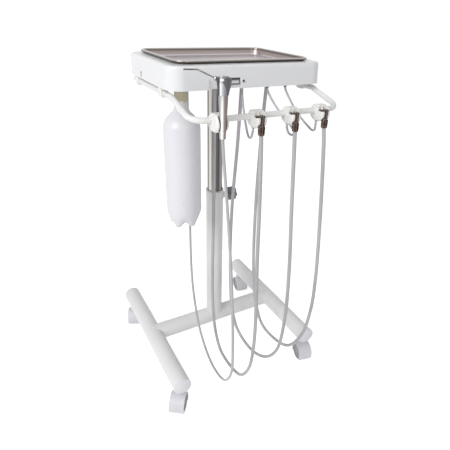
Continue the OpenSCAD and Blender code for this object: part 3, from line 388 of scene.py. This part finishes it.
# ---- Leg end caps ----
# Domed plugs of white polyamide, pushed into both ends of each leg. They close the tubes
# against dirt and cushion knocks.
cap_plastic = finish_of("cap_plastic", (0.87, 0.86, 0.90), (0.83, 0.82, 0.86),
                        (0.32, 0.42), grain=25, relief=0.00003, relief_grain=1200)
dress("leg_end_caps", "leg_end_plugs", cap_plastic, edge=0.0008)


# ---- Casters ----
# Twin-wheel casters: a moulded hood over two grey polyurethane wheels on one axle, and a
# stem that plugs into the leg.
hood_plastic = finish_of("hood_plastic", (0.76, 0.75, 0.79), (0.70, 0.69, 0.73),
                         (0.36, 0.48), grain=30, relief=0.00004, relief_grain=1100)
wheel_tread = finish_of("wheel_tread", (0.46, 0.45, 0.46), (0.37, 0.36, 0.37),
                        (0.42, 0.58), grain=45, relief=0.00006, relief_grain=800)
for corner in ("fl", "fr", "bl", "br"):
    dress("caster_hood_" + corner, "caster_hood_shell_" + corner, hood_plastic, edge=0.0008)
    dress("caster_wheels_" + corner, "caster_wheel_pair_" + corner, wheel_tread, edge=0.0005)


# ---- Post bush, clamp knob and upper post ----
# The polished steel post slides in a plastic bush in the lower tube. The knob's screw
# holds it at its height.
def toned(skin, measure, low, high, stops):
    """Multiplies a finish by tones that follow a measure of place, from low to high."""
    tree = skin.node_tree
    body = tree.nodes["Principled BSDF"]
    streaks = body.inputs["Base Color"].links[0].from_socket
    spread = tree.nodes.new("ShaderNodeMapRange")
    spread.inputs["From Min"].default_value = low
    spread.inputs["From Max"].default_value = high
    tones = ramp_of(tree, stops)
    joined = tree.nodes.new("ShaderNodeMix")
    joined.data_type = "RGBA"
    joined.blend_type = "MULTIPLY"
    joined.inputs["Factor"].default_value = 1.0
    first_colour = joined.inputs[6]
    second_colour = joined.inputs[7]
    mixed_colour = joined.outputs[2]
    link_nodes(
        tree, (measure, spread.inputs["Value"]), (spread.outputs["Result"], tones.inputs["Fac"]),
        (tones.outputs["Color"], first_colour), (streaks, second_colour),
        (mixed_colour, body.inputs["Base Color"]))


# The direction across which painted reflection bands are laid on round metal pieces. It is fixed to
# the unit, not made by the lamps.
painted_reflection_way = Vector((0.85, -0.53, 0))


def reflection_banded(name, centre, half, stops, rough, metal=1.0):
    """A metal with painted reflections: long bands of tone that run up and down a round piece, always
    on one side of it, whatever the view.
    """
    skin = finish_of(name, (1, 1, 1), (0.84, 0.84, 0.84), rough, grain=60,
                     stretch=(1, 1, 0.05), metal=metal, relief=0.000006)
    tree = skin.node_tree
    place = tree.nodes.new("ShaderNodeTexCoord")
    centred = tree.nodes.new("ShaderNodeMapping")
    centred.inputs["Location"].default_value = (-centre.x, -centre.y, 0)
    across = tree.nodes.new("ShaderNodeVectorMath")
    across.operation = "DOT_PRODUCT"
    across.inputs[1].default_value = painted_reflection_way
    link_nodes(tree, (place.outputs["Object"], centred.inputs["Vector"]),
               (centred.outputs["Vector"], across.inputs[0]))
    toned(skin, across.outputs["Value"], -half, half, stops)
    return skin


bush_plastic = finish_of("bush_plastic", (0.62, 0.62, 0.60), (0.54, 0.54, 0.52),
                         (0.35, 0.45), grain=60, relief=0.00003)
knob_plastic = finish_of("knob_plastic", (0.24, 0.24, 0.24), (0.16, 0.16, 0.16),
                         (0.38, 0.5), grain=80, relief=0.00005, relief_grain=1500)
# Painted reflections on the polished upper post: dark, light and brown bands across it.
post_painted_reflections = ((0.0, (0.24, 0.22, 0.20)), (0.10, (0.16, 0.14, 0.13)), (0.18, (0.66, 0.64, 0.62)),
              (0.30, (0.50, 0.46, 0.42)), (0.46, (0.34, 0.31, 0.28)), (0.54, (0.13, 0.12, 0.11)),
              (0.78, (0.10, 0.095, 0.09)), (0.9, (0.28, 0.27, 0.26)), (1.0, (0.12, 0.12, 0.12)))
post_r = 0.021
post_steel = reflection_banded("post_steel", placed((0, 0, 0)), post_r, post_painted_reflections, (0.16, 0.26))
dress("post_bushing", "post_guide_bush", bush_plastic, edge=0.0004)
dress("clamp_knob", "clamp_grip", knob_plastic, edge=0.0012, steps=3)
dress("upper_post", "upper_post_tube", post_steel, edge=0.0004)


# ---- Head ----
# A moulded white cover with a scooped recess, closed from below by a steel pan on the hub.
# Inside are the valve block and the air regulator; the glands and the supply's stubs are in
# the pan.
cover_plastic = finish_of("cover_plastic", (0.84, 0.845, 0.86), (0.81, 0.815, 0.83),
                          (0.22, 0.3), grain=5, relief=0.00002, relief_grain=500)
pan_steel = finish_of("pan_steel", (0.62, 0.62, 0.63), (0.52, 0.52, 0.53), (0.32, 0.45),
                      grain=20, stretch=(0.2, 6, 1), metal=0.8, relief=0.00001)
cast_alloy = finish_of("cast_alloy", (0.45, 0.45, 0.46), (0.36, 0.36, 0.37), (0.38, 0.5),
                       grain=70, metal=0.9, relief=0.00005)
brass = finish_of("brass", (0.55, 0.41, 0.20), (0.45, 0.33, 0.16), (0.26, 0.4), grain=60,
                  metal=1.0, relief=0.00002)
screw_steel = finish_of("screw_steel", (0.50, 0.50, 0.52), (0.38, 0.38, 0.40),
                        (0.24, 0.36), grain=200, metal=1.0, relief=0.00001)
dress("housing", "head_cover", cover_plastic, edge=0.0006)
dress("bottom_pan", "head_pan", pan_steel, edge=0.0003)
dress("head_mount", "head_hub", cast_alloy, edge=0.0005)
dress("control_block", "valve_block", cast_alloy, edge=0.0008)
dress("air_regulator", "air_regulator_body", brass, edge=0.0006)
dress("housing_screws", "cover_screws", screw_steel, edge=0.0002)
dress("hose_glands", "gland_nuts", knob_plastic, edge=0.0004)
dress("supply_inlet", "inlet_stubs", screw_steel, edge=0.0003)


# ---- Gauge and button ----
# A pressure gauge behind a window in a dark frame, and the main valve's button beside it.
# The window's tones are painted, not lit: light below and dark under its upper edge as painted shade,
# where the case shades the dial, with grey bands between.
gauge_frame = finish_of("gauge_frame", (0.03, 0.03, 0.033), (0.02, 0.02, 0.022),
                        (0.3, 0.4), grain=90, relief=0.00003)
gauge_glass = finish_of("gauge_glass", (1, 1, 1), (0.94, 0.94, 0.94), (0.05, 0.1), grain=50)
window_low, window_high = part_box("gauge_lens")
# Painted light and shade on the gauge window, by height.
window_painted_light_and_shade = ((0.0, (0.20, 0.20, 0.21)), (0.12, (0.70, 0.70, 0.71)), (0.42, (0.80, 0.80, 0.82)),
                (0.55, (0.36, 0.36, 0.38)), (0.64, (0.55, 0.55, 0.57)), (0.76, (0.06, 0.055, 0.06)))


def height_in(skin):
    """The socket that gives the height of each point of a piece."""
    tree = skin.node_tree
    place = tree.nodes.new("ShaderNodeTexCoord")
    axes = tree.nodes.new("ShaderNodeSeparateXYZ")
    link_nodes(tree, (place.outputs["Object"], axes.inputs["Vector"]))
    return axes.outputs["Z"]


toned(gauge_glass, height_in(gauge_glass), window_low.z, window_high.z, window_painted_light_and_shade)
needle_black = finish_of("needle_black", (0.03, 0.03, 0.03), (0.02, 0.02, 0.02),
                         (0.4, 0.5), grain=300)
button_black = finish_of("button_black", (0.035, 0.035, 0.035), (0.02, 0.02, 0.02),
                         (0.35, 0.45), grain=150, relief=0.00003)
dress("gauge_case", "gauge_bezel", gauge_frame, edge=0.0004)
dress("gauge_lens", "gauge_window", gauge_glass, edge=0.0002)
dress("gauge_pointer", "gauge_needle", needle_black, edge=0)
dress("front_button", "valve_button", button_black, edge=0.0004)


# ---- Tray ----
# A drawn stainless tray with a rolled rim, lying in the cover's pocket. Its colour carries
# painted reflections by height: a lavender floor, darker brownish walls, a near-black band of
# painted shade just under the rim, and a light rim.
tray_steel = finish_of("tray_steel", (1.0, 1.0, 1.0), (0.93, 0.925, 0.925), (0.24, 0.32),
                       grain=14, stretch=(0.6, 30, 30), metal=1.0, relief=0.00001)
tray_floor_z = 0.894
tray_rim_z = 0.912
# Painted reflection and painted shade on the tray, from its floor up to its rim.
tray_painted_reflection_and_shade = ((0.0, (0.60, 0.565, 0.60)), (0.12, (0.56, 0.52, 0.55)), (0.22, (0.40, 0.34, 0.33)),
              (0.6, (0.31, 0.26, 0.25)), (0.76, (0.10, 0.085, 0.08)),
              (0.88, (0.30, 0.27, 0.25)), (1.0, (0.62, 0.60, 0.58)))
toned(tray_steel, height_in(tray_steel), tray_floor_z, tray_rim_z, tray_painted_reflection_and_shade)
dress("tray", "instrument_tray", tray_steel, edge=0)


# ---- Rail and holders ----
# A bent rail under the pan carries four moulded holders in front: a cone for the syringe
# and three forks with valve levers for the handpieces.
rail_coat = finish_of("rail_coat", (0.85, 0.85, 0.84), (0.80, 0.80, 0.79), (0.28, 0.36),
                      grain=12, relief=0.00004, relief_grain=500)
holder_plastic = finish_of("holder_plastic", (0.87, 0.86, 0.84), (0.82, 0.81, 0.79),
                           (0.30, 0.4), grain=30, relief=0.00004, relief_grain=900)
lever_plastic = finish_of("lever_plastic", (0.05, 0.038, 0.034), (0.03, 0.024, 0.022),
                          (0.35, 0.45), grain=120)
dress("rail", "holder_rail", rail_coat, edge=0)
dress("rail_clamps", "rail_saddles", rail_coat, edge=0.0008)
dress("syringe_holder", "syringe_cradle", holder_plastic, edge=0.0010)
for side in ("left", "middle", "right"):
    dress("holder_" + side, "handpiece_fork_" + side, holder_plastic, edge=0.0010)
    dress("lever_" + side, "valve_lever_" + side, lever_plastic, edge=0.0003)
dress("holder_barbs", "fork_barbs", screw_steel, edge=0)


# ---- Handpiece connectors ----
# Bronze-brown anodised connectors, each with a fluted coupling nut over the hose's end. The
# flutes are small bars that stand around the nut.
# Painted reflections on the connectors and their nuts: light and dark bronze bands across each one.
connector_painted_reflections = ((0.0, (0.05, 0.03, 0.024)), (0.16, (0.30, 0.20, 0.155)),
                   (0.32, (0.09, 0.055, 0.042)), (0.52, (0.04, 0.026, 0.02)),
                   (0.66, (0.22, 0.17, 0.15)), (0.74, (0.03, 0.02, 0.017)), (1.0, (0.06, 0.04, 0.03)))


def bars_tree():
    """Stands a small upright bar on each point of a piece."""
    tree = bpy.data.node_groups.new("bars_on_points", "GeometryNodeTree")
    face = tree.interface
    face.new_socket("Geometry", in_out="INPUT", socket_type="NodeSocketGeometry")
    names = {}
    for name, kind in (("Radius", "NodeSocketFloat"), ("Length", "NodeSocketFloat"),
                       ("Sides", "NodeSocketInt"), ("Finish", "NodeSocketMaterial")):
        names[name] = face.new_socket(name, in_out="INPUT", socket_type=kind).identifier
    face.new_socket("Geometry", in_out="OUTPUT", socket_type="NodeSocketGeometry")
    new = tree.nodes.new
    source, result = new("NodeGroupInput"), new("NodeGroupOutput")
    bar = new("GeometryNodeMeshCylinder")
    spread = new("GeometryNodeInstanceOnPoints")
    realize = new("GeometryNodeRealizeInstances")
    smooth = new("GeometryNodeSetShadeSmooth")
    finish = new("GeometryNodeSetMaterial")
    link_nodes(
        tree, (source.outputs["Sides"], bar.inputs["Vertices"]),
        (source.outputs["Radius"], bar.inputs["Radius"]),
        (source.outputs["Length"], bar.inputs["Depth"]),
        (source.outputs["Geometry"], spread.inputs["Points"]),
        (bar.outputs["Mesh"], spread.inputs["Instance"]),
        (spread.outputs["Instances"], realize.inputs["Geometry"]),
        (realize.outputs["Geometry"], smooth.inputs["Geometry"]),
        (smooth.outputs["Geometry"], finish.inputs["Geometry"]),
        (source.outputs["Finish"], finish.inputs["Material"]),
        (finish.outputs["Geometry"], result.inputs["Geometry"]))
    return tree, names


bar_group, bar_names = bars_tree()


def bars(name, points, radius, long, finish):
    """Upright bars that stand on the points, as one piece."""
    mesh = bpy.data.meshes.new(name)
    mesh.from_pydata([tuple(p) for p in points], [], [])
    return run_tree(new_piece(name, mesh), bar_group, bar_names, Radius=radius,
                    Length=long, Sides=8, Finish=finish)


def ring_points(centre, radius, count):
    """Points spaced evenly on a level ring."""
    turns = [2 * math.pi * k / count for k in range(count)]
    return [centre + Vector((radius * math.cos(a), radius * math.sin(a), 0)) for a in turns]


connector_x = {"left": -41, "middle": 44, "right": 123}
tool_y = -292
connector_r = 0.0068
nut_mid_z = 793
flute_ring_r = 0.0069
flute_r = 0.00042
flute_long = 0.012
flute_count = 26
for side, x in connector_x.items():
    skin = reflection_banded("connector_skin_" + side, placed((x, tool_y, 0)), connector_r,
                  connector_painted_reflections, (0.24, 0.36), metal=0.7)
    dress("connector_" + side, "handpiece_connector_" + side, skin, edge=0.0004)
    dress("connector_nut_" + side, "coupling_nut_" + side, skin, edge=0.0003)
    flute_feet = ring_points(placed((x, tool_y, nut_mid_z)), flute_ring_r, flute_count)
    flutes = bars("coupling_nut_grip_" + side, flute_feet, flute_r, flute_long, skin)
    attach(flutes, "nut_" + side)


# ---- Three-way syringe ----
# A chromed handle and head with two buttons, and a bent tip held by a small nut. The head
# swells upwards into an oval, with a grey plate on the side of the buttons.
chrome = finish_of("chrome", (0.52, 0.51, 0.52), (0.17, 0.17, 0.18), (0.10, 0.2), grain=45,
                   stretch=(1, 1, 0.05), metal=1.0, relief=0.000005)
button_grey = finish_of("button_grey", (0.085, 0.09, 0.1), (0.06, 0.063, 0.07),
                        (0.35, 0.45), grain=150)
tip_steel = finish_of("tip_steel", (0.16, 0.155, 0.15), (0.07, 0.068, 0.066), (0.18, 0.28),
                      grain=120, metal=1.0)
# Painted reflections on the chromed handle: dark, bright and warm bands across it.
grip_painted_reflections = ((0.0, (0.10, 0.10, 0.11)), (0.10, (0.34, 0.34, 0.35)), (0.30, (0.50, 0.49, 0.49)),
              (0.44, (0.80, 0.79, 0.78)), (0.55, (0.56, 0.53, 0.51)), (0.64, (0.24, 0.21, 0.20)),
              (0.84, (0.20, 0.175, 0.165)), (0.92, (0.30, 0.28, 0.27)), (1.0, (0.07, 0.07, 0.07)))
syringe_x = -129
syringe_axis = placed((syringe_x, tool_y, 0))
grip_chrome = reflection_banded("grip_chrome", syringe_axis, 0.0105, grip_painted_reflections, (0.1, 0.2))
grip_rings = ((783, 4.2), (783.6, 5.6), (785, 6.3), (800, 6.5), (815, 6.9), (830, 7.6), (845, 8.5),
              (858, 9.1), (864, 9.3), (866.2, 9.3))
sides = 64
points = []
for z, r in grip_rings:
    points += ring_points(placed((syringe_x, tool_y, z)), r / 1000, sides)


def shell_faces(rows, sides):
    """The faces of a closed shell of rings, with its two ends."""
    faces = [(i * sides + k, i * sides + (k + 1) % sides, (i + 1) * sides + (k + 1) % sides,
              (i + 1) * sides + k) for i in range(rows - 1) for k in range(sides)]
    faces.append(tuple(range(sides - 1, -1, -1)))
    faces.append(tuple((rows - 1) * sides + k for k in range(sides)))
    return faces


def meshed(name, points, faces, finish, sharp=40.0):
    """A piece from points and faces, its faces turned outwards and its curves smooth."""
    work = bmesh.new()
    spots = [work.verts.new(p) for p in points]
    for face in faces:
        work.faces.new([spots[k] for k in face])
    bmesh.ops.recalc_face_normals(work, faces=work.faces)
    mesh = bpy.data.meshes.new(name)
    work.to_mesh(mesh)
    work.free()
    for face in mesh.polygons:
        face.use_smooth = True
    mesh.set_sharp_from_angle(angle=math.radians(sharp))
    mesh.materials.append(finish)
    return new_piece(name, mesh)


syringe_grip = meshed("syringe_grip", points, shell_faces(len(grip_rings), sides), grip_chrome)
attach(syringe_grip, "syringe")
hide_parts("syringe_handle")
# Painted reflections on the chromed syringe head: dark bands with one bright band across it.
head_painted_reflections = ((0.0, (0.05, 0.05, 0.06)), (0.08, (0.22, 0.22, 0.24)), (0.16, (0.07, 0.07, 0.08)),
              (0.26, (0.10, 0.10, 0.11)), (0.34, (0.80, 0.80, 0.82)), (0.46, (0.40, 0.40, 0.42)),
              (0.62, (0.24, 0.24, 0.26)), (1.0, (0.10, 0.10, 0.11)))
head_chrome = reflection_banded("head_chrome", syringe_axis, 0.0145, head_painted_reflections, (0.1, 0.18))
tip_way = Vector((-0.5, 0.866, 0))
side_way = Vector((0.866, 0.5, 0))
head_rings = ((866.2, 9.4, 9.4, 0), (868, 9.8, 9.8, 0), (874, 10.4, 10.2, -0.2),
              (880, 11.4, 11.2, -0.5), (886, 12.4, 12.4, -0.9), (891, 12.9, 13.0, -1.0),
              (895, 12.6, 12.6, -1.0), (898, 10.8, 10.8, -1.0), (899.8, 7.6, 7.6, -1.0),
              (900.7, 3.4, 3.4, -1.0))
squareness = 2.5


def head_point(ring, angle, grow=0.0):
    """A point of the syringe head's skin, on a slightly squared oval."""
    z, a, b, off = ring
    c, d = math.cos(angle), math.sin(angle)
    reach = (abs(c) ** squareness + abs(d) ** squareness) ** (-1 / squareness)
    along = (off + (a + grow) * c * reach) / 1000
    out = (b + grow) * d * reach / 1000
    return placed((syringe_x, tool_y, z)) + tip_way * along + side_way * out


points = [head_point(ring, 2 * math.pi * k / sides) for ring in head_rings for k in range(sides)]
faces = shell_faces(len(head_rings), sides)
syringe_body = meshed("syringe_body", points, faces, head_chrome)
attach(syringe_body, "syringe")
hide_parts("syringe_head")
shield_rings = head_rings[1:8]
shield_half_turns = (10, 20, 38, 54, 64, 62, 40)
shield_raise = 0.35
across = 12
points = []
for ring, half in zip(shield_rings, shield_half_turns):
    for k in range(across + 1):
        angle = math.radians(180 - half + 2 * half * k / across)
        points.append(head_point(ring, angle, shield_raise))
row = across + 1
faces = [(i * row + k, i * row + k + 1, (i + 1) * row + k + 1, (i + 1) * row + k)
         for i in range(len(shield_rings) - 1) for k in range(across)]
shield_grey = finish_of("shield_grey", (0.13, 0.13, 0.14), (0.09, 0.09, 0.10), (0.3, 0.42),
                        grain=140, metal=0.5, relief=0.00002)
shield = meshed("syringe_button_plate", points, faces, shield_grey)
thick = shield.modifiers.new("plate", "SOLIDIFY")
thick.thickness = 0.0006
thick.offset = 0
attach(shield, "syringe")
dress("tip_nut", "syringe_tip_nut", chrome, edge=0.0002)
dress("syringe_tip", "syringe_tip_tube", tip_steel, edge=0.0)
dress("air_button", "syringe_air_key", button_grey, edge=0.0003)
dress("water_button", "syringe_water_key", button_grey, edge=0.0003)


# ---- Water bottle ----
# A blown polyethylene bottle on five feet, screwed into a cap under the pan; water leaves
# through the tube that reaches its floor.
bottle_plastic = finish_of("bottle_plastic", (0.80, 0.80, 0.835), (0.76, 0.76, 0.795),
                           (0.26, 0.34), grain=9, stretch=(1, 1, 0.25), relief=0.00002,
                           relief_grain=120)
cap_cream = finish_of("cap_cream", (0.63, 0.58, 0.42), (0.55, 0.50, 0.36), (0.36, 0.46),
                      grain=40, relief=0.00003)
bottle_skin = ((-1, 508), (10, 507), (20, 504.5), (27, 502), (31, 501), (34.5, 503),
               (37.5, 511), (40, 520), (42.2, 530), (43.6, 538), (44, 545), (44, 600), (44, 640),
               (44, 680), (44, 710), (44, 740), (44, 750), (43.4, 757), (42, 763), (39.6, 769),
               (36, 774.5), (31, 780), (25.5, 785.5), (20.5, 790.5), (17, 795), (15.6, 799),
               (15.2, 806), (15, 812.6))
bottle_x, bottle_y = -127, -79
feet = 5
foot_top_z = 541
foot_tall = 40
groove_deep = 6
groove_rise = 12
floor_r = 20
centre_r = 0.05
steps = 120
points = []
for r, z in bottle_skin:
    fade = max(0.0, (foot_top_z - z) / foot_tall) ** 1.6 if r > floor_r else r / foot_tall
    for k in range(steps):
        a = 2 * math.pi * k / steps
        groove = (0.5 - 0.5 * math.cos(feet * a)) ** 1.4 * fade
        out = r - groove_deep * groove if r > floor_r else max(centre_r, r)
        points.append(placed((bottle_x + out * math.cos(a), bottle_y + out * math.sin(a),
                              z + groove_rise * groove)))
faces = shell_faces(len(bottle_skin), steps)
bottle_body = bottle_plastic.node_tree.nodes["Principled BSDF"]
bottle_body.inputs["Subsurface Weight"].default_value = 0.25
bottle_body.inputs["Subsurface Radius"].default_value = (0.02, 0.02, 0.025)
water_bottle = meshed("water_bottle", points, faces, bottle_plastic, sharp=55)
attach(water_bottle, "bottle")
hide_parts("bottle")
cap_mid_z = 834
rib_ring_r = 0.0149
rib_r = 0.0005
rib_long = 0.036
rib_count = 36
rib_feet = ring_points(placed((bottle_x, bottle_y, cap_mid_z)), rib_ring_r, rib_count)
grip = bars("bottle_cap_grip", rib_feet, rib_r, rib_long, cap_cream)
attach(grip, "head")
dress("bottle_adapter", "bottle_cap", cap_cream, edge=0.0006)
dress("pickup_tube", "bottle_pickup_tube", signal_vinyl, edge=0.0003)


# ---- Floor, light and background ----
# A pale floor that keeps the unit's shadow, under two large soft lamps and a white sky. The
# sky lights the unit less than it shows, so that pale plastic keeps its shading.
floor_mesh = bpy.data.meshes.new("studio_floor")
floor_size = 12
floor_mesh.from_pydata([(-floor_size, -floor_size, 0), (floor_size, -floor_size, 0),
                        (floor_size, floor_size, 0), (-floor_size, floor_size, 0)],
                       [], [(0, 1, 2, 3)])
floor = new_piece("studio_floor", floor_mesh)
floor_paint = bpy.data.materials.new("floor_paint")
floor_paint.use_nodes = True
tree = floor_paint.node_tree
body = tree.nodes["Principled BSDF"]
body.inputs["Base Color"].default_value = (0.9, 0.9, 0.9, 1)
body.inputs["Roughness"].default_value = 0.9
body.inputs["Specular IOR Level"].default_value = 0.1
floor_lift = 0.64


def seen_rays(tree):
    """One for rays from the camera, off gloss or through glass, and nought for the rest."""
    rays = tree.nodes.new("ShaderNodeLightPath")
    either = tree.nodes.new("ShaderNodeMath")
    either.operation = "MAXIMUM"
    through = tree.nodes.new("ShaderNodeMath")
    through.operation = "MAXIMUM"
    link_nodes(
        tree, (rays.outputs["Is Camera Ray"], either.inputs[0]),
        (rays.outputs["Is Glossy Ray"], either.inputs[1]),
        (either.outputs[0], through.inputs[0]),
        (rays.outputs["Is Transmission Ray"], through.inputs[1]))
    return through.outputs[0]


lift = tree.nodes.new("ShaderNodeMath")
lift.operation = "MULTIPLY"
lift.inputs[1].default_value = floor_lift
glow = tree.nodes.new("ShaderNodeEmission")
both = tree.nodes.new("ShaderNodeAddShader")
link_nodes(
    tree, (seen_rays(tree), lift.inputs[0]), (lift.outputs[0], glow.inputs["Strength"]),
    (body.outputs["BSDF"], both.inputs[0]), (glow.outputs["Emission"], both.inputs[1]),
    (both.outputs["Shader"], tree.nodes["Material Output"].inputs["Surface"]))
floor_mesh.materials.append(floor_paint)

sky = bpy.data.worlds.new("studio_sky")
bpy.context.scene.world = sky
sky.use_nodes = True
tree = sky.node_tree
sky_light = 0.42
soft = tree.nodes.new("ShaderNodeMapRange")
soft.inputs["To Min"].default_value = sky_light
soft.inputs["To Max"].default_value = 1.0
link_nodes(tree, (seen_rays(tree), soft.inputs["Value"]),
           (soft.outputs["Result"], tree.nodes["Background"].inputs["Strength"]))
tree.nodes["Background"].inputs["Color"].default_value = (1, 1, 1, 1)


def lamp(name, place, aim, size, power):
    """A square soft lamp that looks at a point."""
    light = bpy.data.lights.new(name, "AREA")
    light.shape = "SQUARE"
    light.size = size
    light.energy = power
    holder = bpy.data.objects.new(name, light)
    holder.location = place
    toward = Vector(aim) - Vector(place)
    holder.rotation_euler = toward.to_track_quat("-Z", "Y").to_euler()
    bpy.context.scene.collection.objects.link(holder)


lamp("lamp_left", (-2.6, -1.1, 2.3), (0, 0, 0.5), 1.8, 60)
lamp("lamp_front", (-0.2, -3.0, 2.0), (0, 0, 0.5), 1.6, 12)
bpy.context.scene.view_settings.view_transform = "Standard"
